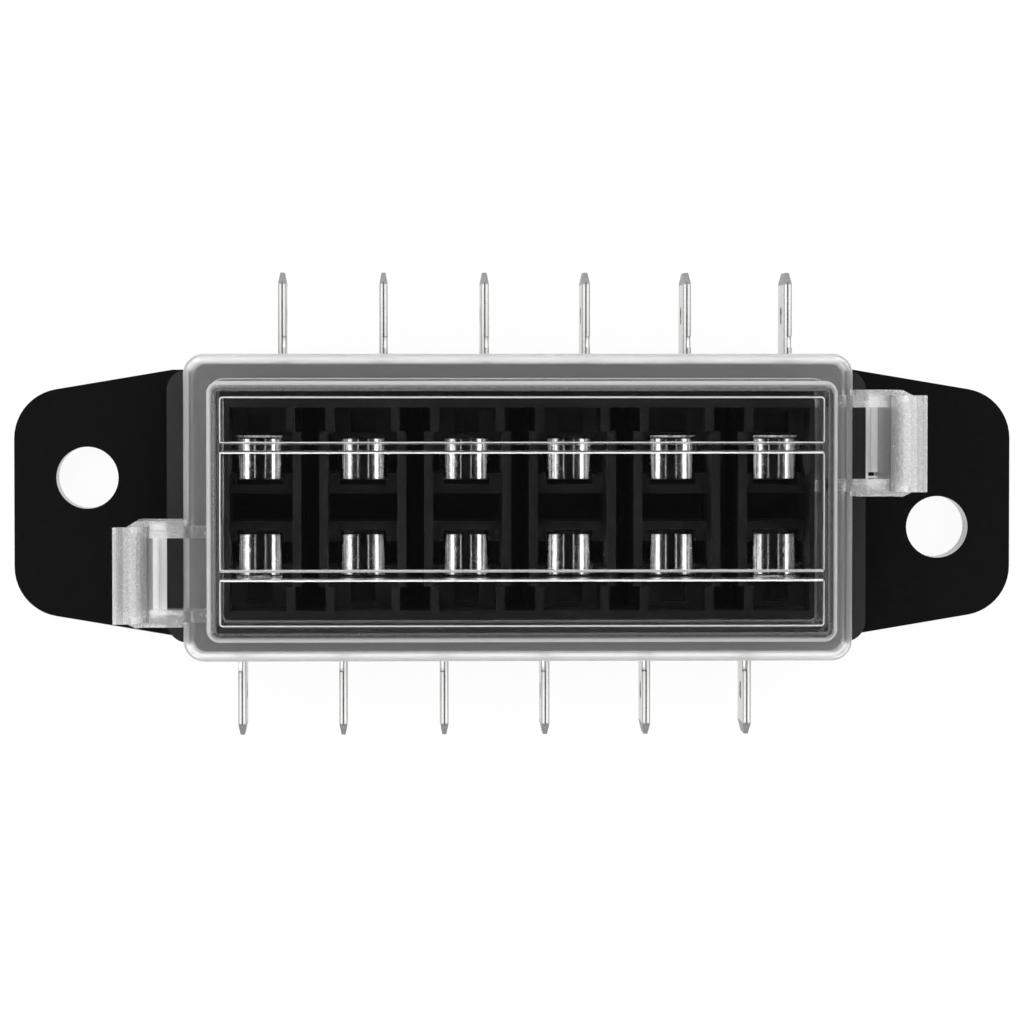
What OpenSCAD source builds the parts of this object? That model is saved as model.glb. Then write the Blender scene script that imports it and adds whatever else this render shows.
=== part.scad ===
// Six-way blade fuse block: a black moulded base, twelve folded terminals and a clear latched cover.
// The mounting plane is z = 0, X runs along the row of fuses and Y across it. Lengths are in millimetres.

/* [Fuses] */
// Spacing between neighbouring fuses
pitch = 10; // [9.6:0.1:13]
// Thickness of a fuse body
fuse_t = 5.1; // [4.6:0.1:5.4]
// Length of a fuse body across the block
fuse_l = 19.1; // [19:0.1:22]
// Height of a fuse body above its blades
fuse_body_h = 11.4; // [10:0.2:16]
// Distance between the middles of the two blades of one fuse
blade_spacing = 9.3; // [9.1:0.1:9.5]
// Play around a fuse in its seat
seat_play = 0.15; // [0.05:0.05:0.25]

/* [Base tower] */
// Height of the seat floors above the mounting plane
seat_z = 19.2; // [18.6:0.2:22]
// Depth of the fuse seats
seat_depth = 5.8; // [4:0.2:7]
// Wall along the long sides of the tower
tower_side_wall = 0.9; // [0.6:0.1:1.6]
// Wall across the two ends of the tower
tower_end_wall = 0.5; // [0.4:0.05:2]
// Walls beside the seats and the pockets
inner_wall = 0.85; // [0.5:0.05:1]
// How much wider the middle of a seat is than its ends, on each side
pocket_step = 0.6; // [0.3:0.1:0.7]
// Radius of the upright corners of the tower
tower_r = 0.4; // [0.3:0.05:0.8]
// Play between the heads of the fuses and the ribs of the cover
fuse_head_play = 0.2; // [0.1:0.1:1]
// Half length of the wide middle of a seat
pocket_reach = 7.4; // [6.8:0.1:8.6]
// Width of the recess in the middle of a seat, across the block
middle_recess_w = 2.7; // [1.5:0.1:2.9]
// Height of the floor of that recess
middle_recess_z = 10; // [8:0.5:16]
// Height of the floor of the wells between the seats
well_z = 15; // [12:0.5:18]
// Height of the floor of the channels between the seats
channel_z = 8; // [7.5:0.5:12]
// Width of the core hole outside each contact
core_hole_w = 2.4; // [1:0.1:4]
// Distance of its outer edge from the middle of the block
core_hole_reach = 9.1; // [8.2:0.1:9.4]
// Height of the floor of that hole
core_hole_z = 17; // [16.5:0.1:18]
// Distance from the inner ends of the leaves to the wall that divides the seat
chamber_lead = 0.5; // [0.3:0.05:0.6]
// Height of the shoulder that covers the walls of a contact, above the bend of its leaves
shoulder_rise = 1.4; // [1.2:0.1:2]
// Width of the slit through which the back of an outer contact shows
back_slit_w = 0.25; // [0.1:0.05:0.35]
// Distance from the ends of the leaves to the recess beside them, on the inner side
recess_lead = 0.6; // [0.2:0.1:1]
// Distance from the ends of the leaves to the recess beside them, on the outer side
recess_tail = 1.1; // [0.4:0.1:1.2]
// Depth of that recess below the bend of the leaves
recess_drop = 1; // [0.2:0.1:2]

/* [Base body] */
// How far the collar under the cover overhangs the body on each side
collar_overhang = 0.6; // [0.2:0.05:1.2]
// Height of the ledges at the two ends of the body
ledge_z = 16; // [15:0.2:17]
// Width of each ledge beyond the rim of the cover
ledge_w = 1.8; // [1:0.1:5]
// Radius of the upright corners of the body
body_r = 2; // [0.5:0.1:4]
// Thickness of each ledge over its catch
catch_lip = 3.3; // [3.1:0.1:4]
// Depth of the catches under the ledges
catch_depth = 0.9; // [0.4:0.1:1.2]
// Width of the core pockets underneath, between the contacts
core_pocket_w = 2; // [1:0.1:2.2]
// Height of the core pockets
core_pocket_h = 6; // [3:0.5:6.5]
// Wall around the underside of the body
skirt_wall = 1.6; // [1.2:0.1:2.5]

/* [Mounting ears] */
// Length over both ears
ear_span = 99.8; // [98:0.2:120]
// Thickness of the ears
ear_t = 4; // [2.5:0.1:6]
// Width of the ears at their outer ends, before rounding
ear_tip_w = 21.3; // [18:0.1:26]
// Corner radius of the ears
ear_r = 5; // [2:0.5:7]
// Distance of each mounting hole from the end of its ear
hole_edge = 7.3; // [6:0.05:9]
// Distance of each mounting hole from the middle line
hole_offset = 2.5; // [0:0.1:5]
// Radius of the mounting holes
hole_r = 3.1; // [1.6:0.1:3.6]

/* [Terminals] */
// Thickness of the brass sheet
sheet_t = 0.4; // [0.3:0.05:0.45]
// Width of a contact over its two walls
clip_w = 4.8; // [4.4:0.1:4.9]
// Length of a contact's leaves across the block
clip_l = 3.9; // [3:0.1:4.5]
// Height of the top of the leaves
clip_top_z = 17; // [15:0.2:18]
// Height at which the leaves start to lean towards each other
clip_bend_z = 11; // [10.4:0.2:12]
// Gap between the two leaves
throat = 0.6; // [0.3:0.05:0.8]
// Half width of the oval bend of the lips, which turn outwards
lip_r = 1.3; // [1:0.05:1.35]
// Height of that bend, from its middle to the top of the lip
lip_h = 0.85; // [0.7:0.05:1]
// Direction in which a lip ends, seen from the middle of its bend
lip_end_angle = 57; // [50:1:70]
// Gap between the leaves and the plate behind them
back_gap = 0.1; // [0.05:0.05:0.15]
// Height of the top of that plate
back_top_z = 16; // [14:0.2:16.2]
// How much less far a lip reaches at its inner end
lip_cut_w = 0.15; // [0.05:0.05:0.3]
// Height of the lower edge of the tabs
tab_z = 3.5; // [0.5:0.1:4]
// Width of the tabs
tab_w = 6.3; // [4.8:0.1:6.4]
// Distance of the tips of the tabs from the middle of the block
tab_reach = 22.9; // [18:0.1:28]
// Length of the bevel at the tip of a tab
tab_bevel = 1.1; // [0.4:0.1:1.6]
// Length of the notch at the shoulder of a tab
notch_l = 1.1; // [0.5:0.1:1.6]
// Radius of the dimple hole in a tab
tab_hole_r = 0.9; // [0.4:0.1:1.2]
// Play between a terminal and the base
terminal_play = 0.1; // [0.05:0.05:0.15]

/* [Cover] */
// Play between the cover and the base
cover_play = 0.2; // [0.1:0.05:0.3]
// Wall at the two ends of the cover's box
box_end_wall = 1.2; // [0.8:0.05:1.6]
// Wall along the long sides of the cover's box
box_side_wall = 1.45; // [1:0.05:2]
// Thickness of the top of the cover
cover_top_t = 1.2; // [1.1:0.1:2.5]
// Radius of the rounded edges of the top
top_fillet = 1; // [0.3:0.1:1]
// Radius of the upright corners of the hollow
hollow_r = 0.35; // [0.3:0.05:0.4]
// Radius between the walls and the ceiling of the hollow
hollow_fillet = 0.2; // [0.1:0.05:0.25]
// Radius of the upright corners of the box
box_r = 1.2; // [1:0.1:3]
// Width and height of the bead at the foot of the box
foot_bead = 0.25; // [0.1:0.05:0.5]
// Width of the shelf outside the box at the two ends
shelf_end_w = 2.7; // [2:0.05:4]
// Width of the shelf outside the box along the long sides
shelf_side_w = 2.6; // [2:0.05:3.4]
// Thickness of the shelf
shelf_t = 1; // [0.8:0.1:2]
// Wall of the rim that hangs from the shelf
rim_t = 0.75; // [0.5:0.05:1.2]
// Height of the rim, shelf included
rim_h = 5.3; // [3.5:0.1:6]
// Radius of the upright corners of the rim
rim_r = 2; // [1.2:0.1:4]
// Radius of the rounded top edge of the rim
rim_fillet = 0.7; // [0.2:0.05:0.7]
// Height of the two ribs under the top
rib_h = 2; // [0.6:0.1:3]
// Thickness of those ribs
rib_t = 1.1; // [0.65:0.05:1.6]
// Radius of the lower edges of those ribs
rib_fillet = 0.3; // [0.05:0.05:0.3]
// Distance of each rib from the middle line
rib_y = 6; // [2:0.1:9]

/* [Latches] */
// Width of a latch over its two arms
latch_w = 9.2; // [7:0.1:11]
// Distance of a latch's middle from the middle line
latch_y = 6.25; // [0:0.05:7]
// Width of an arm
arm_w = 1.15; // [0.8:0.05:2]
// Height of the arms above the shelf
arm_h = 2.7; // [2:0.1:5]
// Thickness of the side ribs of a latch
wing_t = 0.5; // [0.3:0.05:0.8]
// Height of the side ribs below the tops of the arms
wing_h = 6.4; // [3:0.1:7]
// Reach of the side ribs beyond the inner face of the web
wing_reach = 1.2; // [1:0.1:2]
// Length over which a side rib thins out at its end
wing_end_w = 0.8; // [0.3:0.1:1]
// Distance of the web's inner face from the body
web_gap = 1.35; // [1:0.05:2.5]
// How much further out the web stands at its foot
web_lean_w = 0.3; // [0:0.05:0.5]
// Thickness of the web and the finger plate
web_t = 0.85; // [0.6:0.05:1.2]
// Height of the lower end of the web
web_foot_z = 8.6; // [7:0.2:9.5]
// Height of the top of the hook bar
hook_top_z = 12.4; // [11:0.1:12.5]
// Height of the upright nose of the hook bar
hook_nose = 1; // [0.6:0.1:1.5]
// Length of the nose of the hook bar
nose_l = 0.7; // [0.4:0.05:0.9]
// Step down from the hook bar to its nose
nose_step = 0.25; // [0.1:0.05:0.5]
// Play between the hook bar and the body
hook_play = 0.2; // [0.15:0.05:0.4]
// Width of the slit at the end of the hook bar
slit_w = 0.4; // [0.2:0.05:0.8]
// Radius of the finger plate's curve, at the middle of its thickness
plate_r = 3.7; // [2:0.1:6]
// Angle through which the finger plate curves
plate_turn = 70; // [30:5:90]

/* [Hidden] */
$fn = 48;
stations = 6;
// Overlap of a cut with the open air beyond it
over = 1;

// Seats, tower and the hollow of the cover
row_half = (stations - 1) / 2 * pitch;
seat_w = fuse_t + 2 * seat_play;
seat_l = fuse_l + 2 * seat_play;
pocket_half = seat_w / 2 + pocket_step;
tower_z = seat_z + seat_depth;
tower_l = 2 * row_half + seat_w + 2 * tower_end_wall;
tower_w = seat_l + 2 * tower_side_wall;
hollow_l = tower_l + 2 * cover_play;
hollow_w = tower_w + 2 * cover_play;
box_l = hollow_l + 2 * box_end_wall;
box_w = hollow_w + 2 * box_side_wall;
rim_l = box_l + 2 * shelf_end_w;
rim_w = box_w + 2 * shelf_side_w;
shelf_z = ledge_z + rim_h;
collar_z = shelf_z - shelf_t - cover_play;
collar_l = rim_l - 2 * rim_t - 2 * cover_play;
collar_w = rim_w - 2 * rim_t - 2 * cover_play;
body_l = rim_l + 2 * ledge_w;
body_w = collar_w - 2 * collar_overhang;
hole_span = ear_span - 2 * hole_edge;

// Top of the cover: the ribs hang just above the fuses
ceiling_z = seat_z + fuse_body_h + fuse_head_play + rib_h;
cover_z = ceiling_z + cover_top_t;

// Contacts and the chambers that hold them
clip_in_y = blade_spacing / 2 - clip_l / 2;
clip_out_y = blade_spacing / 2 + clip_l / 2;
back_y = clip_out_y + back_gap;
wall_x = clip_w / 2 - sheet_t / 2;
tab_x = clip_w / 2 - sheet_t;
tab_top_z = tab_z + tab_w;
chamber_w = clip_w + 2 * terminal_play;
chamber_in_y = clip_in_y - chamber_lead;
chamber_out_y = back_y + sheet_t + terminal_play;
shoulder_z = clip_bend_z + shoulder_rise;
shoulder_y = clip_out_y + terminal_play;
side_recess_in_y = clip_in_y + recess_lead;
side_recess_out_y = clip_out_y - recess_tail;
side_recess_z = clip_bend_z - recess_drop;
// Stations at which the slit shows the back of a contact, in the upper and in the lower row
back_slits = [[0, stations - 2, stations - 1], [0, stations - 1]];
slot_w = 2 * sheet_t + 2 * terminal_play;
lip_x = throat / 2 + lip_r;
lip_z = clip_top_z - lip_h;
// The leaf runs from the wall to the inner side of the bend, where its middle line stands upright
lip_in_x = throat / 2 + sheet_t / 2;
lip_lean = atan2(wall_x - lip_in_x, lip_z - clip_bend_z);
lip_side = lip_x + lip_r * lip_h * cos(lip_end_angle)
    / norm([lip_h * cos(lip_end_angle), lip_r * sin(lip_end_angle)]);
upper_chamber_w = 2 * (lip_side + terminal_play);

// Latches: the web stands outside the body and the hook bar reaches back to it
web_x = body_l / 2 + web_gap;
arm_top_z = shelf_z + arm_h;

// Width of the ears, measured at the end of the body and run on to the tip
ear_root_x = body_l / 2;
ear_root_w = body_w;

// Rectangle with round corners, centred
module round_rect(l, w, r) {
    square([l - 2 * r, w], center = true);
    square([l, w - 2 * r], center = true);
    for (sx = [-1, 1], sy = [-1, 1])
        translate([sx * (l / 2 - r), sy * (w / 2 - r)]) circle(r);
}

// Slice of a polygon from one direction to another, much larger than what it is set against
module sector(from, to, reach) {
    slices = 4;
    polygon([[0, 0], for (k = [0 : slices]) let (a = from + (to - from) * k / slices)
        [reach * cos(a), reach * sin(a)]]);
}

// Bar section that stands on z = 0, with its two top corners rounded
module soft_section(w, h, f) {
    translate([-w / 2, 0]) square([w, h - f]);
    translate([-w / 2 + f, 0]) square([w - 2 * f, h]);
    for (s = [-1, 1]) translate([s * (w / 2 - f), h - f]) circle(f);
}

// Block with upright corners of radius r and a top edge rounded by f
module soft_block(l, w, h, r, f) {
    translate([-(l / 2 - r), 0, 0]) rotate([90, 0, 90])
        linear_extrude(l - 2 * r) soft_section(w, h, f);
    translate([0, w / 2 - r, 0]) rotate([90, 0, 0])
        linear_extrude(w - 2 * r) soft_section(l, h, f);
    for (sx = [-1, 1], sy = [-1, 1])
        translate([sx * (l / 2 - r), sy * (w / 2 - r), 0])
            rotate_extrude() intersection() {
                soft_section(2 * r, h, f);
                square([r, h]);
            }
}

// Plan of one ear: the sides narrow from the body to the tip, the two tip corners are round
module ear_plan() {
    tip = ear_span / 2;
    lean = atan2((ear_root_w - ear_tip_w) / 2, tip - ear_root_x);
    // Centre of the corner circle that touches both the side and the end
    corner_y = ear_tip_w / 2 + ear_r * tan(lean) - ear_r / cos(lean);
    touch = [tip - ear_r + ear_r * sin(lean), corner_y + ear_r * cos(lean)];
    polygon([
        [0, ear_root_w / 2], [ear_root_x, ear_root_w / 2], touch, [tip, corner_y],
        [tip, -corner_y], [touch[0], -touch[1]], [ear_root_x, -ear_root_w / 2], [0, -ear_root_w / 2]
    ]);
    for (s = [-1, 1]) translate([tip - ear_r, s * corner_y]) circle(ear_r);
}

// Everything opened from above for one fuse: seat, wide middle, recess, chambers and core holes
module fuse_station(i) {
    first = i == 0;
    last = i == stations - 1;
    left = first ? seat_w / 2 : pocket_half;
    right = last ? seat_w / 2 : pocket_half;
    top = tower_z - seat_z + over;
    translate([-seat_w / 2, -seat_l / 2, seat_z]) cube([seat_w, seat_l, top]);
    translate([-left, -pocket_reach, seat_z]) cube([left + right, 2 * pocket_reach, top]);
    translate([-left, -middle_recess_w / 2, middle_recess_z])
        cube([left + right, middle_recess_w, tower_z - middle_recess_z]);
    for (turn = [0, 180]) rotate(turn) {
        // The outer side of an end station has no room for the wide part
        l = turn == 0 ? left : right;
        r = turn == 0 ? right : left;
        translate([-l, side_recess_in_y, side_recess_z])
            cube([l + r, side_recess_out_y - side_recess_in_y, tower_z - side_recess_z]);
        // The chamber of a contact is narrower above the shoulder, where only the lips pass
        translate([-chamber_w / 2, chamber_in_y, -over])
            cube([chamber_w, chamber_out_y - chamber_in_y, shoulder_z + over]);
        translate([-upper_chamber_w / 2, chamber_in_y, shoulder_z - over])
            cube([upper_chamber_w, shoulder_y - chamber_in_y, tower_z - shoulder_z + over]);
        // The plate behind the leaves stands in a slot of its own, which is open at a few stations
        translate([-chamber_w / 2, back_y - terminal_play, -over])
            cube([chamber_w, sheet_t + 2 * terminal_play, back_top_z + terminal_play + over]);
        row = turn == 0 ? 0 : 1;
        if (len(search(i, back_slits[row])) > 0)
            translate([-upper_chamber_w / 2, shoulder_y - over, shoulder_z - over])
                cube([upper_chamber_w, over + back_slit_w, tower_z - shoulder_z + over]);
        translate([-core_hole_w / 2, chamber_out_y, core_hole_z])
            cube([core_hole_w, core_hole_reach - chamber_out_y, tower_z - core_hole_z]);
        // Slot that lets the tab in from below and out through the side
        translate([tab_x - slot_w / 2, chamber_in_y, -over])
            cube([slot_w, body_w, tab_top_z + over]);
    }
}

// Cores between two neighbouring fuses: wells at the two sides and a channel along the middle
module between_stations() {
    well_w = pitch - seat_w - 2 * inner_wall;
    channel_w = pitch - 2 * pocket_half - 2 * inner_wall;
    for (s = [-1, 1])
        translate([-well_w / 2, s > 0 ? pocket_reach : -seat_l / 2, well_z])
            cube([well_w, seat_l / 2 - pocket_reach, tower_z - well_z + over]);
    translate([-channel_w / 2, -seat_l / 2, channel_z])
        cube([channel_w, seat_l, well_z - channel_z + over]);
    translate([-channel_w / 2, -pocket_reach - over / 2, channel_z])
        cube([channel_w, 2 * pocket_reach + over, tower_z - channel_z + over]);
    translate([-core_pocket_w / 2, -body_w / 2 + skirt_wall, -over])
        cube([core_pocket_w, body_w - 2 * skirt_wall, core_pocket_h + over]);
}

module base() color("#1b1b1d") difference() {
    union() {
        for (turn = [0, 180]) rotate(turn) linear_extrude(ear_t) ear_plan();
        linear_extrude(ledge_z) round_rect(body_l, body_w, body_r);
        translate([0, 0, ear_t]) linear_extrude(collar_z - ear_t)
            round_rect(collar_l, min(collar_w, body_w), rim_r - rim_t);
        translate([0, 0, ledge_z]) linear_extrude(collar_z - ledge_z)
            round_rect(collar_l, collar_w, rim_r - rim_t);
        translate([0, 0, ear_t]) linear_extrude(tower_z - ear_t)
            round_rect(tower_l, tower_w, tower_r);
    }
    for (i = [0 : stations - 1]) translate([i * pitch - row_half, 0, 0]) fuse_station(i);
    for (i = [1 : stations - 1]) translate([i * pitch - row_half - pitch / 2, 0, 0]) between_stations();
    for (turn = [0, 180]) rotate(turn) {
        translate([hole_span / 2, -hole_offset, -over]) cylinder(h = ear_t + 2 * over, r = hole_r);
        // Core pocket under each end of the body
        end_core_x = row_half + chamber_w / 2 + skirt_wall;
        translate([end_core_x, -body_w / 2 + skirt_wall, -over])
            cube([body_l / 2 - skirt_wall - catch_depth - end_core_x, body_w - 2 * skirt_wall,
                ledge_z - 2 * skirt_wall + over]);
        // Catch under the ledge, behind the hook bar of the latch
        translate([body_l / 2 - catch_depth, latch_y - latch_w / 2, web_foot_z - hook_play])
            cube([catch_depth + over, latch_w, ledge_z - catch_lip - web_foot_z + hook_play]);
    }
}

// Ellipse with the given half width and half height
module oval(half_w, half_h) {
    scale([half_w, half_h]) circle(1);
}

// Section of one contact leaf: a wall, a leaning blade and a lip rolled outwards
module leaf_section() {
    translate([wall_x - sheet_t / 2, tab_z]) square([sheet_t, clip_bend_z - tab_z]);
    translate([wall_x, clip_bend_z]) circle(sheet_t / 2);
    translate([wall_x, clip_bend_z]) rotate(lip_lean) translate([-sheet_t / 2, 0])
        square([sheet_t, norm([wall_x - lip_in_x, lip_z - clip_bend_z])]);
    translate([lip_in_x, lip_z]) circle(sheet_t / 2);
    translate([lip_x, lip_z]) difference() {
        oval(lip_r, lip_h);
        oval(lip_r - sheet_t, lip_h - sheet_t);
        // The open side of the bend, below the leaf and beyond the end of the lip
        sector(180, 360 + lip_end_angle, 3 * lip_r);
    }
}

// One terminal of the upper row, with its fuse in the middle of the block
module terminal() color("#c9cbcc") {
    for (side = [0, 1]) mirror([side, 0, 0]) difference() {
        translate([0, clip_out_y, 0]) rotate([90, 0, 0]) linear_extrude(clip_l) leaf_section();
        // Each lip narrows towards the middle of the block
        translate([0, 0, lip_z - lip_h]) linear_extrude(3 * lip_h) polygon([
            [lip_side, clip_out_y], [lip_side - lip_cut_w, clip_in_y],
            [lip_side - lip_cut_w, clip_in_y - over],
            [lip_side + over, clip_in_y - over], [lip_side + over, clip_out_y]
        ]);
    }
    // The plate that joins the two walls
    translate([-clip_w / 2, back_y, tab_z]) cube([clip_w, sheet_t, back_top_z - tab_z]);
    for (side = [-1, 1])
        translate([side * wall_x - sheet_t / 2, clip_out_y - over, tab_z])
            cube([sheet_t, over + back_gap + sheet_t, tab_w]);
    // The tab is the sheet folded double
    difference() {
        intersection() {
            translate([tab_x - sheet_t, back_y, 0]) cube([2 * sheet_t, tab_reach - back_y, tab_top_z]);
            tab_plan();
            tab_side();
        }
        tab_hole_y = tab_reach - tab_w / 2 - tab_bevel;
        translate([tab_x - tab_w / 2, tab_hole_y, tab_z + tab_w / 2]) rotate([0, 90, 0])
            cylinder(h = tab_w, r = tab_hole_r);
        // Seam between the two layers
        seam_t = sheet_t / 4;
        translate([tab_x - seam_t / 2, back_y + sheet_t + over, tab_top_z - sheet_t])
            cube([seam_t, tab_reach, tab_w]);
        // Notch at the shoulder, in the outer layer
        notch_y = tab_reach - tab_w - notch_l;
        translate([tab_x, notch_y, tab_top_z - 2 * sheet_t]) cube([2 * sheet_t, notch_l, tab_w]);
    }
}

// The tab from above: its tip is bevelled on both faces
module tab_plan() {
    tip_t = sheet_t;
    linear_extrude(tab_top_z) polygon([
        [tab_x - sheet_t, 0], [tab_x + sheet_t, 0], [tab_x + sheet_t, tab_reach - tab_bevel],
        [tab_x + tip_t / 2, tab_reach], [tab_x - tip_t / 2, tab_reach],
        [tab_x - sheet_t, tab_reach - tab_bevel]
    ]);
}

// The tab from the side: its two tip corners are cut
module tab_side() {
    cut = tab_bevel;
    translate([tab_x - tab_w, 0, tab_z]) rotate([90, 0, 90]) linear_extrude(2 * tab_w) polygon([
        [0, 0], [tab_reach - cut, 0], [tab_reach, cut], [tab_reach, tab_w - cut],
        [tab_reach - cut, tab_w], [0, tab_w]
    ]);
}

module terminal_upper(i) translate([(i - 1) * pitch - row_half, 0, 0]) terminal();

module terminal_lower(i) translate([(i - 1) * pitch - row_half, 0, 0]) rotate(180) terminal();

// Side view of a latch, X outwards: web, hook bar and curved finger plate
module latch_section() {
    hook_x = body_l / 2 + hook_play;
    web_mid = web_x + web_t / 2;
    foot_x = web_x + web_lean_w;
    polygon([
        [foot_x, web_foot_z], [foot_x + web_t, web_foot_z],
        [web_x + web_t, arm_top_z], [web_x, arm_top_z]
    ]);
    // The hook bar has a sloping lower face, to ride over the ledge
    polygon([
        [hook_x, hook_top_z - nose_step], [hook_x + nose_l, hook_top_z - nose_step],
        [hook_x + nose_l, hook_top_z], [web_mid + web_lean_w / 2, hook_top_z],
        [foot_x + web_t / 2, web_foot_z], [foot_x, web_foot_z], [hook_x, hook_top_z - nose_step - hook_nose]
    ]);
    translate([web_mid + plate_r, arm_top_z]) {
        intersection() {
            difference() {
                circle(plate_r + web_t / 2);
                circle(plate_r - web_t / 2);
            }
            // The part of the ring that the plate covers
            sector(180 - plate_turn, 180, 3 * plate_r);
        }
        translate([-plate_r * cos(plate_turn), plate_r * sin(plate_turn)]) circle(web_t / 2);
    }
}

// Side view of the rib at each side of a latch
module wing_section() {
    tip = [web_x + wing_reach + wing_end_w, arm_top_z + plate_r * sin(plate_turn) - web_t];
    polygon([
        [rim_l / 2 - rim_t / 2, arm_top_z - wing_h],
        [web_x + web_t + web_lean_w / 2, arm_top_z - wing_h], tip,
        [web_x + web_t / 2, arm_top_z], [rim_l / 2, arm_top_z], [rim_l / 2 - rim_t / 2, shelf_z - shelf_t]
    ]);
}

module latch() {
    inner_y = latch_y - latch_w / 2;
    outer_y = latch_y + latch_w / 2;
    arm_x = box_l / 2 - box_end_wall / 2;
    difference() {
        translate([0, outer_y, 0]) rotate([90, 0, 0]) linear_extrude(latch_w) latch_section();
        // Slit between the hook bar and the inner arm
        translate([web_x - web_gap / 2, inner_y + arm_w, web_foot_z - over])
            cube([web_gap / 2 + web_lean_w, slit_w, hook_top_z - web_foot_z + 2 * over]);
    }
    for (y = [inner_y, outer_y - arm_w])
        translate([arm_x, y, shelf_z - shelf_t / 2])
            cube([web_x + web_t / 2 - arm_x, arm_w, arm_h + shelf_t / 2]);
    intersection() {
        translate([0, outer_y + wing_t, 0]) rotate([90, 0, 0])
            linear_extrude(latch_w + 2 * wing_t) wing_section();
        // Only the two outer sides are left, and they thin out at the end
        for (side = [0, 1]) translate([0, latch_y, 0]) mirror([0, side, 0])
            linear_extrude(cover_z + arm_h) polygon([
                [0, latch_w / 2 - arm_w / 2], [web_x + wing_reach + wing_end_w, latch_w / 2 - arm_w / 2],
                [web_x + wing_reach + wing_end_w, latch_w / 2], [web_x + wing_reach, latch_w / 2 + wing_t],
                [0, latch_w / 2 + wing_t]
            ]);
    }
}

module cover() color("#dfe3e6", 0.45) {
    difference() {
        union() {
            translate([0, 0, ledge_z]) soft_block(rim_l, rim_w, rim_h, rim_r, rim_fillet);
            translate([0, 0, ledge_z]) soft_block(box_l, box_w, cover_z - ledge_z, box_r, top_fillet);
            // Bead between the foot of the box and the shelf
            translate([0, 0, ledge_z]) soft_block(box_l + 2 * foot_bead, box_w + 2 * foot_bead,
                rim_h + foot_bead, box_r + foot_bead, foot_bead);
        }
        translate([0, 0, ledge_z - over]) linear_extrude(rim_h - shelf_t + over)
            round_rect(rim_l - 2 * rim_t, rim_w - 2 * rim_t, rim_r - rim_t);
        soft_block(hollow_l, hollow_w, ceiling_z, hollow_r, hollow_fillet);
    }
    for (s = [-1, 1])
        translate([-hollow_l / 2 - box_end_wall / 2, s * rib_y, ceiling_z + cover_top_t / 2])
            rotate([0, 90, 0]) rotate(90) mirror([0, 1, 0]) linear_extrude(hollow_l + box_end_wall)
                soft_section(rib_t, rib_h + cover_top_t / 2, rib_fillet);
    for (turn = [0, 180]) rotate(turn) latch();
}

base();
cover();
terminal_upper(1);  // terminal_upper_1
terminal_upper(2);  // terminal_upper_2
terminal_upper(3);  // terminal_upper_3
terminal_upper(4);  // terminal_upper_4
terminal_upper(5);  // terminal_upper_5
terminal_upper(6);  // terminal_upper_6
terminal_lower(1);  // terminal_lower_1
terminal_lower(2);  // terminal_lower_2
terminal_lower(3);  // terminal_lower_3
terminal_lower(4);  // terminal_lower_4
terminal_lower(5);  // terminal_lower_5
terminal_lower(6);  // terminal_lower_6
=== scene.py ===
import math

import bmesh
import bpy
from mathutils import Matrix, Vector


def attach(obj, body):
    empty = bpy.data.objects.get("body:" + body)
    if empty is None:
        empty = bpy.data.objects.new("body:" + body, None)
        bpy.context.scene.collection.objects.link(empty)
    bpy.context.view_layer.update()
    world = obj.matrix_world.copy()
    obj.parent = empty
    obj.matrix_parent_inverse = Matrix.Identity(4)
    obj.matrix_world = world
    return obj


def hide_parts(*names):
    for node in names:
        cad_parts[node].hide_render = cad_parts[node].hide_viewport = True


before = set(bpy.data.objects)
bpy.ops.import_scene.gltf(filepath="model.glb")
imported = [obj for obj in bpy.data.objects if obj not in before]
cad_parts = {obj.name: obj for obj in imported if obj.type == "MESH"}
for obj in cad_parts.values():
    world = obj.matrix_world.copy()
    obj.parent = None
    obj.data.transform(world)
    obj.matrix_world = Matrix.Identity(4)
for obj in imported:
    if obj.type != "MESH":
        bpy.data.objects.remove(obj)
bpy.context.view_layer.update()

MM = 0.001

# The camera stands almost straight above the block, a little to the left of it and towards the upper
# row of tabs, as in the photograph. Its lens is long, so the two mounting ears look nearly alike.
EYE = Vector((-13.2, 13.5, 450)) * MM
AIM = Vector((-0.11, -1.0, 3.0)) * MM
FOCAL_PIXELS = 4452
PICTURE_PIXELS = 1024
SENSOR_MM = 36

camera = bpy.data.objects.new("camera", bpy.data.cameras.new("camera"))
bpy.context.scene.collection.objects.link(camera)
camera.data.sensor_width = SENSOR_MM
camera.data.lens = FOCAL_PIXELS / PICTURE_PIXELS * SENSOR_MM
camera.data.clip_start = 10 * MM
camera.data.clip_end = 20
forward = (AIM - EYE).normalized()
right = forward.cross(Vector((0, 1, 0))).normalized()
upright = right.cross(forward)
camera.matrix_world = Matrix((
    (right.x, upright.x, -forward.x, EYE.x),
    (right.y, upright.y, -forward.y, EYE.y),
    (right.z, upright.z, -forward.z, EYE.z),
    (0, 0, 0, 1)))
bpy.context.scene.camera = camera
bpy.context.scene.view_settings.view_transform = "Standard"

# The surroundings are a white tent with a ring lamp round the lens. Inside the ring it is dark, so the
# flat top of the clear cover mirrors no light into the lens. The ring makes the metal and the rounded
# edges shine, and the sides of the tent are bright all round.
TENT_TONES = ((0.0, 1.0), (0.74, 1.0), (0.88, 3.4), (0.976, 3.4), (0.987, 0.04), (1.0, 0.04))
TENT_MAX = 4.0

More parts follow.
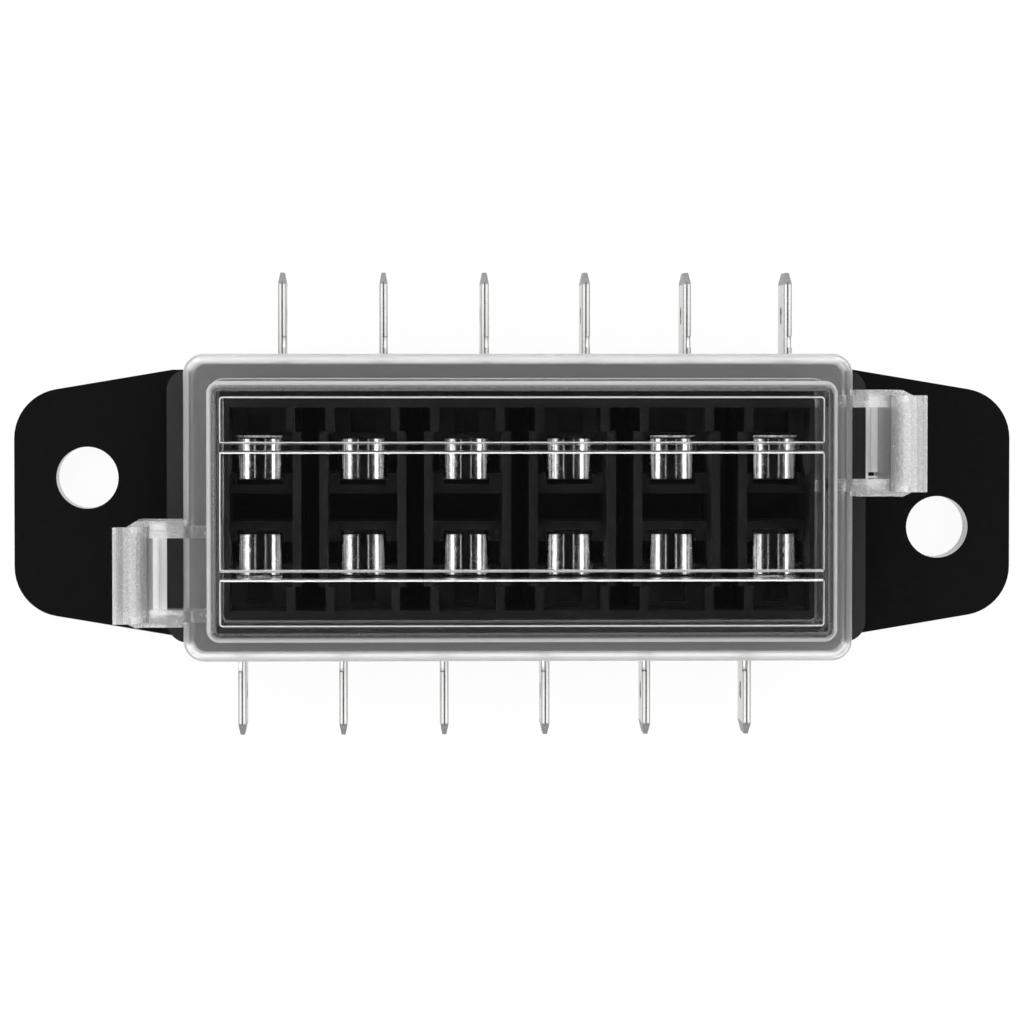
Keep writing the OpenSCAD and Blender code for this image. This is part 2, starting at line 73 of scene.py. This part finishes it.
world = bpy.data.worlds.new("white_tent")
bpy.context.scene.world = world
world.use_nodes = True
nodes, links = world.node_tree.nodes, world.node_tree.links
nodes.clear()
out = nodes.new("ShaderNodeOutputWorld")
place = nodes.new("ShaderNodeTexCoord")
parts = nodes.new("ShaderNodeSeparateXYZ")
links.new(place.outputs["Generated"], parts.inputs[0])
tones = nodes.new("ShaderNodeFloatCurve")
curve = tones.mapping.curves[0]
tones.mapping.use_clip = False
for index, (height, strength) in enumerate(TENT_TONES):
    spot = (height, strength / TENT_MAX)
    if index < 2:
        curve.points[index].location = spot
    else:
        curve.points.new(*spot)
for point in curve.points:
    point.handle_type = "VECTOR"
tones.mapping.update()
links.new(parts.outputs["Z"], tones.inputs["Value"])
height = nodes.new("ShaderNodeMath")
height.operation = "MULTIPLY"
height.inputs[1].default_value = TENT_MAX
links.new(tones.outputs["Value"], height.inputs[0])
tent = nodes.new("ShaderNodeBackground")
links.new(height.outputs[0], tent.inputs["Strength"])
seen = nodes.new("ShaderNodeBackground")
seen.inputs["Strength"].default_value = 1.0
light_path = nodes.new("ShaderNodeLightPath")
pick = nodes.new("ShaderNodeMixShader")
links.new(light_path.outputs["Is Camera Ray"], pick.inputs[0])
links.new(tent.outputs[0], pick.inputs[1])
links.new(seen.outputs[0], pick.inputs[2])
links.new(pick.outputs[0], out.inputs["Surface"])

# Two long soft lamps stand at the sides of the tent, one beyond the upper tabs and one to the left.
LAMPS = (
    ("lamp_behind", (0.0, 0.55, 0.45), (0.9, 0.25), 2.2),
    ("lamp_left", (-0.60, -0.05, 0.40), (0.25, 0.7), 1.6),
)
for lamp_name, spot, size, power in LAMPS:
    lamp = bpy.data.objects.new(lamp_name, bpy.data.lights.new(lamp_name, "AREA"))
    bpy.context.scene.collection.objects.link(lamp)
    lamp.data.shape = "RECTANGLE"
    lamp.data.size, lamp.data.size_y = size
    lamp.data.energy = power
    lamp.location = spot
    lamp.rotation_euler = (-Vector(spot)).to_track_quat("-Z", "Y").to_euler()

# The block lies on a wide sheet of white paper. The lens, the metal and the clear plastic see the
# paper as plain white, and it keeps a faint shadow of the block. Under the body no light reaches it.
PAPER_HALF = 3.0
PAPER_SHADOW = 0.06
BODY_HALF = (34.0 * MM, 13.2 * MM)

paper_mesh = bpy.data.meshes.new("paper")
paper_mesh.from_pydata(
    [(x, y, 0.0) for x, y in ((-PAPER_HALF, -PAPER_HALF), (PAPER_HALF, -PAPER_HALF),
                              (PAPER_HALF, PAPER_HALF), (-PAPER_HALF, PAPER_HALF))],
    [], [(0, 1, 2, 3)])
paper = bpy.data.objects.new("paper", paper_mesh)
bpy.context.scene.collection.objects.link(paper)
paper.location.z = -0.02 * MM
paper_finish = bpy.data.materials.new("white_paper")
paper_finish.use_nodes = True
nodes, links = paper_finish.node_tree.nodes, paper_finish.node_tree.links
nodes.clear()
out = nodes.new("ShaderNodeOutputMaterial")
paper_fibre = nodes.new("ShaderNodeTexNoise")
paper_fibre.inputs["Scale"].default_value = 900
paper_bump = nodes.new("ShaderNodeBump")
paper_bump.inputs["Strength"].default_value = 0.03
paper_bump.inputs["Distance"].default_value = 0.1 * MM
matt = nodes.new("ShaderNodeBsdfDiffuse")
matt.inputs["Color"].default_value = (0.92, 0.92, 0.92, 1)
links.new(paper_fibre.outputs["Fac"], paper_bump.inputs["Height"])
links.new(paper_bump.outputs["Normal"], matt.inputs["Normal"])
glow = nodes.new("ShaderNodeEmission")
glow.inputs["Strength"].default_value = 1.0
light_path = nodes.new("ShaderNodeLightPath")
either = nodes.new("ShaderNodeMath")
either.operation = "MAXIMUM"
links.new(light_path.outputs["Is Camera Ray"], either.inputs[0])
links.new(light_path.outputs["Is Glossy Ray"], either.inputs[1])
any_ray = nodes.new("ShaderNodeMath")
any_ray.operation = "MAXIMUM"
links.new(either.outputs[0], any_ray.inputs[0])
links.new(light_path.outputs["Is Transmission Ray"], any_ray.inputs[1])
place = nodes.new("ShaderNodeTexCoord")
parts = nodes.new("ShaderNodeSeparateXYZ")
links.new(place.outputs["Object"], parts.inputs[0])
beside = []
for axis, half in zip("XY", BODY_HALF):
    length = nodes.new("ShaderNodeMath")
    length.operation = "ABSOLUTE"
    links.new(parts.outputs[axis], length.inputs[0])
    outside = nodes.new("ShaderNodeMath")
    outside.operation = "GREATER_THAN"
    outside.inputs[1].default_value = half
    links.new(length.outputs[0], outside.inputs[0])
    beside.append(outside)
open_floor = nodes.new("ShaderNodeMath")
open_floor.operation = "MAXIMUM"
links.new(beside[0].outputs[0], open_floor.inputs[0])
links.new(beside[1].outputs[0], open_floor.inputs[1])
lit = nodes.new("ShaderNodeMath")
lit.operation = "MULTIPLY"
links.new(any_ray.outputs[0], lit.inputs[0])
links.new(open_floor.outputs[0], lit.inputs[1])
share = nodes.new("ShaderNodeMath")
share.operation = "MULTIPLY"
share.inputs[1].default_value = 1 - PAPER_SHADOW
links.new(lit.outputs[0], share.inputs[0])
pick = nodes.new("ShaderNodeMixShader")
links.new(share.outputs[0], pick.inputs[0])
links.new(matt.outputs[0], pick.inputs[1])
links.new(glow.outputs[0], pick.inputs[2])
links.new(pick.outputs[0], out.inputs["Surface"])
paper.data.materials.append(paper_finish)


# The base is one black moulding of filled plastic. Its surfaces carry the fine matt grain of the
# mould, the ledges and the tower are a little greyer, and every edge is slightly round.
EDGE_BASE = 0.12 * MM
LEDGE_Z = 16 * MM
EAR_Z = 6 * MM
SEAT_Z = 18 * MM


def rounded_piece(name, node, edge):
    """A copy of a frame node with small round edges, which stands in for the sharp one."""
    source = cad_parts[node]
    mesh = source.data.copy()
    mesh.name = name
    mesh.materials.clear()
    form = bmesh.new()
    form.from_mesh(mesh)
    bmesh.ops.remove_doubles(form, verts=form.verts, dist=1e-6)
    bmesh.ops.dissolve_limit(form, angle_limit=math.radians(0.6), verts=form.verts, edges=form.edges)
    form.to_mesh(mesh)
    form.free()
    piece = bpy.data.objects.new(name, mesh)
    bpy.context.scene.collection.objects.link(piece)
    mesh.shade_smooth()
    mesh.set_sharp_from_angle(angle=math.radians(30))
    bevel = piece.modifiers.new("round_edges", "BEVEL")
    bevel.width = edge
    bevel.segments = 2
    bevel.limit_method = "ANGLE"
    bevel.angle_limit = math.radians(30)
    bevel.miter_outer = "MITER_SHARP"
    bevel.use_clamp_overlap = True
    # Large flat faces keep their own direction where they run into a rounding
    flat = piece.modifiers.new("flat_faces", "WEIGHTED_NORMAL")
    flat.weight = 100
    flat.keep_sharp = True
    return piece


def new_finish(name):
    """A material with only a Principled shader and its output."""
    finish = bpy.data.materials.new(name)
    finish.use_nodes = True
    nodes = finish.node_tree.nodes
    nodes.clear()
    out = nodes.new("ShaderNodeOutputMaterial")
    skin = nodes.new("ShaderNodeBsdfPrincipled")
    finish.node_tree.links.new(skin.outputs[0], out.inputs["Surface"])
    return finish, nodes, finish.node_tree.links, skin, out


def grain_group():
    """The fine grain of a mould's surface, shared by every plastic: roughness and normal."""
    group = bpy.data.node_groups.new("mould_grain", "ShaderNodeTree")
    for name, kind in (("Scale", "NodeSocketFloat"), ("Height", "NodeSocketFloat"),
                       ("Rough Low", "NodeSocketFloat"), ("Rough High", "NodeSocketFloat")):
        group.interface.new_socket(name, in_out="INPUT", socket_type=kind)
    group.interface.new_socket("Roughness", in_out="OUTPUT", socket_type="NodeSocketFloat")
    group.interface.new_socket("Normal", in_out="OUTPUT", socket_type="NodeSocketVector")
    nodes, links = group.nodes, group.links
    given = nodes.new("NodeGroupInput")
    result = nodes.new("NodeGroupOutput")
    place = nodes.new("ShaderNodeTexCoord")
    grain = nodes.new("ShaderNodeTexNoise")
    grain.inputs["Detail"].default_value = 4
    links.new(place.outputs["Object"], grain.inputs["Vector"])
    links.new(given.outputs["Scale"], grain.inputs["Scale"])
    rough = nodes.new("ShaderNodeMapRange")
    rough.inputs["From Min"].default_value = 0.3
    rough.inputs["From Max"].default_value = 0.7
    links.new(grain.outputs["Fac"], rough.inputs["Value"])
    links.new(given.outputs["Rough Low"], rough.inputs["To Min"])
    links.new(given.outputs["Rough High"], rough.inputs["To Max"])
    links.new(rough.outputs["Result"], result.inputs["Roughness"])
    bump = nodes.new("ShaderNodeBump")
    bump.inputs["Distance"].default_value = 0.02 * MM
    links.new(given.outputs["Height"], bump.inputs["Strength"])
    links.new(grain.outputs["Fac"], bump.inputs["Height"])
    links.new(bump.outputs["Normal"], result.inputs["Normal"])
    return group


mould_grain = grain_group()


def add_grain(nodes, links, skin, scale, height, rough_low, rough_high):
    """Give a plastic the mould's grain at a scale of its own."""
    grain = nodes.new("ShaderNodeGroup")
    grain.node_tree = mould_grain
    for name, value in (("Scale", scale), ("Height", height), ("Rough Low", rough_low), ("Rough High", rough_high)):
        grain.inputs[name].default_value = value
    links.new(grain.outputs["Roughness"], skin.inputs["Roughness"])
    links.new(grain.outputs["Normal"], skin.inputs["Normal"])


base = rounded_piece("moulded_base", "base", EDGE_BASE)
black_plastic, nodes, links, skin, out = new_finish("black_plastic")
skin.inputs["Specular IOR Level"].default_value = 0.05
add_grain(nodes, links, skin, 2100, 0.25, 0.45, 0.62)
place = nodes.new("ShaderNodeTexCoord")
flow = nodes.new("ShaderNodeTexNoise")
flow.inputs["Scale"].default_value = 60
flow.inputs["Detail"].default_value = 3
links.new(place.outputs["Object"], flow.inputs["Vector"])
tone = nodes.new("ShaderNodeValToRGB")
tone.color_ramp.elements[0].position = 0.35
tone.color_ramp.elements[0].color = (0.0035, 0.0035, 0.0038, 1)
tone.color_ramp.elements[1].position = 0.7
tone.color_ramp.elements[1].color = (0.0065, 0.0065, 0.0068, 1)
links.new(flow.outputs["Fac"], tone.inputs[0])
# Faces near the height of the ledges are painted a lighter grey than the rest of the base
parts = nodes.new("ShaderNodeSeparateXYZ")
links.new(place.outputs["Object"], parts.inputs[0])
near_ledge = nodes.new("ShaderNodeMath")
near_ledge.operation = "COMPARE"
near_ledge.inputs[1].default_value = LEDGE_Z
near_ledge.inputs[2].default_value = 0.3 * MM
links.new(parts.outputs["Z"], near_ledge.inputs[0])
# The grey is scaled by height: the ears are the darkest and the walls of the seats the lightest
height_ramp = nodes.new("ShaderNodeMapRange")
height_ramp.inputs["From Min"].default_value = EAR_Z
height_ramp.inputs["From Max"].default_value = SEAT_Z
height_ramp.inputs["To Min"].default_value = 0.25
height_ramp.inputs["To Max"].default_value = 2.0
links.new(parts.outputs["Z"], height_ramp.inputs["Value"])
height_scaled = nodes.new("ShaderNodeVectorMath")
height_scaled.operation = "SCALE"
links.new(tone.outputs[0], height_scaled.inputs[0])
links.new(height_ramp.outputs["Result"], height_scaled.inputs["Scale"])
ledge_grey = nodes.new("ShaderNodeMix")
ledge_grey.data_type = "RGBA"
ledge_grey.inputs["B"].default_value = (0.022, 0.022, 0.023, 1)
links.new(near_ledge.outputs[0], ledge_grey.inputs["Factor"])
links.new(height_scaled.outputs[0], ledge_grey.inputs["A"])
links.new(ledge_grey.outputs["Result"], skin.inputs["Base Color"])
base.data.materials.append(black_plastic)

# The pins that form the two mounting holes are polished, so the walls of the holes shine
HOLES = ((-42.6 * MM, 2.5 * MM), (42.6 * MM, -2.5 * MM))
HOLE_REACH = 3.3 * MM

glossy_black, nodes, links, skin, out = new_finish("glossy_black")
skin.inputs["Base Color"].default_value = (0.004, 0.004, 0.0042, 1)
skin.inputs["Specular IOR Level"].default_value = 0.5
add_grain(nodes, links, skin, 2100, 0.02, 0.10, 0.20)
base.data.materials.append(glossy_black)
for face in base.data.polygons:
    x, y, z = face.center
    if abs(face.normal.z) < 0.5 and min(math.dist((x, y), hole) for hole in HOLES) < HOLE_REACH:
        face.material_index = 1
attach(base, "base")
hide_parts("base")

# Each terminal is one pressing of thin tinned brass: the tab is the sheet folded double, and inside
# the block it opens into two leaves whose rolled lips grip a fuse blade. Rolling left fine lines.
EDGE_TERMINAL = 0.05 * MM
SHEET = 0.4 * MM
PITCH = 10 * MM
TAB_X = 2 * MM
TAB_ROOT = 10 * MM
TAB_TIP = 21.7 * MM

tinned_brass, nodes, links, skin, out = new_finish("tinned_brass")
skin.inputs["Metallic"].default_value = 1.0
place = nodes.new("ShaderNodeTexCoord")
stretch = nodes.new("ShaderNodeMapping")
stretch.inputs["Scale"].default_value = (1, 0.012, 1)
links.new(place.outputs["Object"], stretch.inputs["Vector"])
roll_lines = nodes.new("ShaderNodeTexNoise")
roll_lines.inputs["Scale"].default_value = 3800
roll_lines.inputs["Detail"].default_value = 3
links.new(stretch.outputs[0], roll_lines.inputs["Vector"])
clouds = nodes.new("ShaderNodeTexNoise")
clouds.inputs["Scale"].default_value = 900
clouds.inputs["Detail"].default_value = 3
links.new(place.outputs["Object"], clouds.inputs["Vector"])
tone = nodes.new("ShaderNodeValToRGB")
tone.color_ramp.elements[0].position = 0.36
tone.color_ramp.elements[0].color = (0.50, 0.50, 0.49, 1)
tone.color_ramp.elements[1].position = 0.54
tone.color_ramp.elements[1].color = (0.93, 0.93, 0.92, 1)
links.new(roll_lines.outputs["Fac"], tone.inputs[0])
# Painted dark reflections: a few dark lines along the leaves, at the same places on each contact, stand in for the
# dark bands that the rolled lips mirror
LEAF_HALF = 2.2 * MM
REFLECTED_DARK_LINES = ((-1.68 * MM, 0.2), (1.05 * MM, 0.3), (1.55 * MM, 0.2))
DARK_LINE_HALF = 0.08 * MM
parts = nodes.new("ShaderNodeSeparateXYZ")
links.new(place.outputs["Object"], parts.inputs[0])
from_seat = nodes.new("ShaderNodeMath")
from_seat.operation = "ADD"
from_seat.inputs[1].default_value = PITCH / 2
links.new(parts.outputs["X"], from_seat.inputs[0])
off_middle = nodes.new("ShaderNodeMath")
off_middle.operation = "WRAP"
off_middle.inputs[1].default_value = -PITCH / 2
off_middle.inputs[2].default_value = PITCH / 2
links.new(from_seat.outputs[0], off_middle.inputs[0])
on_leaf = nodes.new("ShaderNodeMapRange")
on_leaf.inputs["From Min"].default_value = -LEAF_HALF
on_leaf.inputs["From Max"].default_value = LEAF_HALF
links.new(off_middle.outputs[0], on_leaf.inputs["Value"])
dark_line_ramp = nodes.new("ShaderNodeValToRGB")
dark_line_ramp.color_ramp.elements[0].color = (1, 1, 1, 1)
for offset, grey in REFLECTED_DARK_LINES:
    for side, level in ((-DARK_LINE_HALF, 1.0), (0.0, grey), (DARK_LINE_HALF, 1.0)):
        stop = dark_line_ramp.color_ramp.elements.new((offset + side + LEAF_HALF) / (2 * LEAF_HALF))
        stop.color = (level, level, level, 1)
links.new(on_leaf.outputs["Result"], dark_line_ramp.inputs[0])
lined = nodes.new("ShaderNodeMix")
lined.data_type = "RGBA"
lined.blend_type = "MULTIPLY"
lined.inputs["Factor"].default_value = 1.0
links.new(tone.outputs[0], lined.inputs["A"])
links.new(dark_line_ramp.outputs[0], lined.inputs["B"])
# The tabs are duller than the contacts, and their coined tips are darker still
reach = nodes.new("ShaderNodeMath")
reach.operation = "ABSOLUTE"
links.new(parts.outputs["Y"], reach.inputs[0])
colour = lined.outputs["Result"]
rough = nodes.new("ShaderNodeMapRange")
rough.inputs["To Min"].default_value = 0.17
rough.inputs["To Max"].default_value = 0.34
links.new(clouds.outputs["Fac"], rough.inputs["Value"])
roughness = rough.outputs["Result"]
# Across a tab the colour follows the fold: painted shade in the seam, two bright layers and painted shade on the
# sheared edges
row_side = nodes.new("ShaderNodeMath")
row_side.operation = "SIGN"
links.new(parts.outputs["Y"], row_side.inputs[0])
shift = nodes.new("ShaderNodeMath")
shift.operation = "MULTIPLY_ADD"
shift.inputs[1].default_value = -TAB_X
shift.inputs[2].default_value = PITCH / 2
links.new(row_side.outputs[0], shift.inputs[0])
along_row = nodes.new("ShaderNodeMath")
along_row.operation = "ADD"
links.new(parts.outputs["X"], along_row.inputs[0])
links.new(shift.outputs[0], along_row.inputs[1])
off_seam = nodes.new("ShaderNodeMath")
off_seam.operation = "PINGPONG"
off_seam.inputs[1].default_value = PITCH / 2
links.new(along_row.outputs[0], off_seam.inputs[0])
across = nodes.new("ShaderNodeMapRange")
across.inputs["From Max"].default_value = SHEET
links.new(off_seam.outputs[0], across.inputs["Value"])
fold = nodes.new("ShaderNodeValToRGB")
fold_tones = ((0.0, 0.16), (0.15, 0.16), (0.25, 0.60), (0.60, 0.66), (0.78, 0.30), (1.0, 0.26))
for index, (place_across, grey) in enumerate(fold_tones):
    stop = fold.color_ramp.elements[index] if index < 2 else fold.color_ramp.elements.new(place_across)
    stop.position = place_across
    stop.color = (grey, grey, 0.98 * grey, 1)
links.new(across.outputs["Result"], fold.inputs[0])
# The broad faces of a tab keep the colour of the sheet
facing = nodes.new("ShaderNodeNewGeometry")
facing_parts = nodes.new("ShaderNodeSeparateXYZ")
links.new(facing.outputs["True Normal"], facing_parts.inputs[0])
sideways = nodes.new("ShaderNodeMath")
sideways.operation = "ABSOLUTE"
links.new(facing_parts.outputs["X"], sideways.inputs[0])
on_broad = nodes.new("ShaderNodeMath")
on_broad.operation = "GREATER_THAN"
on_broad.inputs[1].default_value = 0.9
links.new(sideways.outputs[0], on_broad.inputs[0])
edges = nodes.new("ShaderNodeMix")
edges.data_type = "RGBA"
edges.inputs["B"].default_value = (0.62, 0.62, 0.61, 1)
links.new(on_broad.outputs[0], edges.inputs["Factor"])
links.new(fold.outputs[0], edges.inputs["A"])
# Beyond the root a tab takes these fold colours with their painted shade, and beyond the tip it is darker still
for start, grey, dullness in ((TAB_ROOT, None, 0.35), (TAB_TIP, 0.30, 0.5)):
    beyond = nodes.new("ShaderNodeMapRange")
    beyond.inputs["From Min"].default_value = start - 0.05 * MM
    beyond.inputs["From Max"].default_value = start + 0.05 * MM
    links.new(reach.outputs[0], beyond.inputs["Value"])
    tab_tone = nodes.new("ShaderNodeMix")
    tab_tone.data_type = "RGBA"
    if grey is None:
        links.new(edges.outputs["Result"], tab_tone.inputs["B"])
    else:
        tab_tone.inputs["B"].default_value = (grey, grey, 0.98 * grey, 1)
    links.new(beyond.outputs["Result"], tab_tone.inputs["Factor"])
    links.new(colour, tab_tone.inputs["A"])
    colour = tab_tone.outputs["Result"]
    dull = nodes.new("ShaderNodeMix")
    dull.inputs["B"].default_value = dullness
    links.new(beyond.outputs["Result"], dull.inputs["Factor"])
    links.new(roughness, dull.inputs["A"])
    roughness = dull.outputs["Result"]
links.new(colour, skin.inputs["Base Color"])
links.new(roughness, skin.inputs["Roughness"])
bump = nodes.new("ShaderNodeBump")
bump.inputs["Strength"].default_value = 0.45
bump.inputs["Distance"].default_value = 0.02 * MM
links.new(roll_lines.outputs["Fac"], bump.inputs["Height"])
links.new(bump.outputs["Normal"], skin.inputs["Normal"])

for row in ("upper", "lower"):
    for number in range(1, 7):
        node = f"terminal_{row}_{number}"
        terminal = rounded_piece(f"pressed_{node}", node, EDGE_TERMINAL)
        terminal.data.materials.append(tinned_brass)
        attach(terminal, "base")
        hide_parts(node)

# The cover is one clear moulding. Its box is polished, and the shelf, the rim and the two latches
# come from a matt part of the mould, so they look milky. It sits on the ledges and hooks at its ends.
EDGE_COVER = 0.15 * MM

cover = rounded_piece("clear_cover", "cover", EDGE_COVER)


def clear_finish(name, tint, milk, speck, shine, grain, height, rough_low, rough_high):
    """Clear plastic that lets lamp light through; milk is the share of light that it scatters."""
    finish, nodes, links, skin, out = new_finish(name)
    skin.inputs["Base Color"].default_value = (tint, tint, tint, 1)
    skin.inputs["Specular IOR Level"].default_value = shine
    if speck > 0:
        place = nodes.new("ShaderNodeTexCoord")
        specks = nodes.new("ShaderNodeTexNoise")
        specks.inputs["Scale"].default_value = grain
        specks.inputs["Detail"].default_value = 2
        links.new(place.outputs["Object"], specks.inputs["Vector"])
        tone = nodes.new("ShaderNodeValToRGB")
        tone.color_ramp.elements[0].position = 0.35
        tone.color_ramp.elements[0].color = (tint - speck, tint - speck, tint - speck, 1)
        tone.color_ramp.elements[1].position = 0.6
        tone.color_ramp.elements[1].color = (tint, tint, tint, 1)
        links.new(specks.outputs["Fac"], tone.inputs[0])
        links.new(tone.outputs[0], skin.inputs["Base Color"])
    skin.inputs["IOR"].default_value = 1.49
    skin.inputs["Transmission Weight"].default_value = 1 - milk
    add_grain(nodes, links, skin, grain, height, rough_low, rough_high)
    open_path = nodes.new("ShaderNodeBsdfTransparent")
    open_path.inputs["Color"].default_value = (0.735, 0.738, 0.738, 1)
    light_path = nodes.new("ShaderNodeLightPath")
    pick = nodes.new("ShaderNodeMixShader")
    links.new(light_path.outputs["Is Shadow Ray"], pick.inputs[0])
    links.new(skin.outputs[0], pick.inputs[1])
    links.new(open_path.outputs[0], pick.inputs[2])
    links.new(pick.outputs[0], out.inputs["Surface"])
    return finish


FINISHES = (
    ("clear_plastic", 0.97, 0.0, 0.0, 0.5, 900, 0.01, 0.01, 0.03),
    # painted highlight: the real rounded edges scatter a little light
    ("edge_plastic", 0.97, 0.10, 0.0, 0.5, 1800, 0.0, 0.12, 0.20),
    ("satin_plastic", 0.95, 0.045, 0.0, 0.5, 2600, 0.0, 0.30, 0.42),
    ("frosted_plastic", 0.97, 0.11, 0.06, 0.5, 2600, 0.0, 0.18, 0.28),
    # painted highlight: steep facets of the roundings, the latch edges and one rib line scatter much light
    ("highlight_plastic", 0.97, 0.30, 0.0, 0.5, 2600, 0.0, 0.32, 0.36),
    # weaker painted highlight on gentler facets and on the rim's rounding
    ("soft_highlight_plastic", 0.97, 0.12, 0.0, 0.5, 2600, 0.0, 0.28, 0.31),
    # painted shade: a darker tint on the flattest facets of the box's roundings
    ("fillet_shade_plastic", 0.62, 0.01, 0.0, 0.2, 2600, 0.0, 0.13, 0.15),
    # painted highlight and painted shade on the hook's top: near-opaque white below its edge, darker grey at it
    ("bar_highlight_plastic", 0.99, 0.96, 0.0, 0.5, 2600, 0.0, 0.35, 0.50),
    ("shaded_plastic", 0.80, 0.62, 0.0, 0.5, 2600, 0.0, 0.35, 0.50),
    # painted highlight: a band of the latch plate that scatters more light
    ("plate_highlight_plastic", 0.97, 0.26, 0.05, 0.5, 2600, 0.0, 0.22, 0.32),
    # painted shade: a dark tint without gloss on the faces of the latch webs
    ("web_shade_plastic", 0.55, 0.0, 0.0, 0.0, 2600, 0.0, 0.30, 0.45),
)
for finish in FINISHES:
    cover.data.materials.append(clear_finish(*finish))
CLEAR, EDGE, SATIN, FROSTED, HIGHLIGHT, SOFT_HIGHLIGHT, FILLET_SHADE, BAR_HIGHLIGHT, SHADED, PLATE_HIGHLIGHT, WEB_SHADE = range(len(FINISHES))
cover.modifiers["round_edges"].material = EDGE
SHELF_TOP = 21.3 * MM
RIM_HALF = (32.3 * MM, 14.85 * MM)
BOX_HALF = (29.6 * MM, 12.25 * MM)
RIM_ROUND = 0.7 * MM
SLACK = 0.1 * MM
HOOK_TOP = 12.4 * MM
TIP_X = 38.0 * MM
PLATE_HIGHLIGHT_X = (36.5 * MM, 37.5 * MM)
RIB_EDGE_Y = -5.55 * MM
RIB_ENDS = (30.0 * MM, 31.4 * MM)
RIB_ZONE = 0.3 * MM

# The rounding is made real here, so that each narrow face can have the finish of its own place; many of these
# finishes are painted highlights and painted shade
rounded_cover = bpy.data.meshes.new_from_object(cover.evaluated_get(bpy.context.evaluated_depsgraph_get()))
rounded_cover.name = "clear_cover"
cover.modifiers.clear()
cover.data = rounded_cover
for face in cover.data.polygons:
    x, y, z = face.center
    slope = abs(face.normal.z)
    at_edge = face.material_index == EDGE
    on_latch = abs(x) > RIM_HALF[0] + SLACK or (abs(x) > BOX_HALF[0] + 4 * SLACK and z > SHELF_TOP + 4 * SLACK)
    on_rim = abs(x) > RIM_HALF[0] - RIM_ROUND - SLACK or abs(y) > RIM_HALF[1] - RIM_ROUND - SLACK
    on_shelf = face.normal.z > 0.9 and z < SHELF_TOP + 4 * SLACK
    if on_latch:
        if z < HOOK_TOP + 2 * SLACK and face.normal.z > 0.5:
            # Painted highlight on the hook's upward faces below its top edge, painted shade on those at the edge
            face.material_index = BAR_HIGHLIGHT if z < HOOK_TOP - SLACK else SHADED
        # Painted highlights on the latch edges, stronger short of the tip
        elif at_edge:
            face.material_index = EDGE if abs(x) > TIP_X else HIGHLIGHT
        elif abs(face.normal.x) > 0.98:
            # Painted shade on the faces of the webs
            face.material_index = WEB_SHADE
        else:
            # Painted highlight on a band across the plate's inner face
            face.material_index = PLATE_HIGHLIGHT if PLATE_HIGHLIGHT_X[0] < abs(x) < PLATE_HIGHLIGHT_X[1] and z > SHELF_TOP else FROSTED
    # A painted highlight on one line of the rib
    elif abs(y - RIB_EDGE_Y) < RIB_ZONE and RIB_ENDS[0] < z < RIB_ENDS[1]:
        face.material_index = HIGHLIGHT
    elif at_edge:
        continue
    # Painted highlights on the roundings: the steeper a facet, the more light its finish scatters
    elif on_rim and 0.1 < slope < 0.98:
        face.material_index = SOFT_HIGHLIGHT
    elif on_shelf or on_rim:
        face.material_index = SATIN
    elif 0.1 < slope < 0.72:
        face.material_index = HIGHLIGHT
    elif 0.1 < slope < 0.87:
        face.material_index = SOFT_HIGHLIGHT
    # Painted shade: the flattest facets of the roundings are tinted darker
    elif 0.1 < slope < 0.999:
        face.material_index = FILLET_SHADE
    else:
        face.material_index = CLEAR
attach(cover, "cover")
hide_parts("cover")
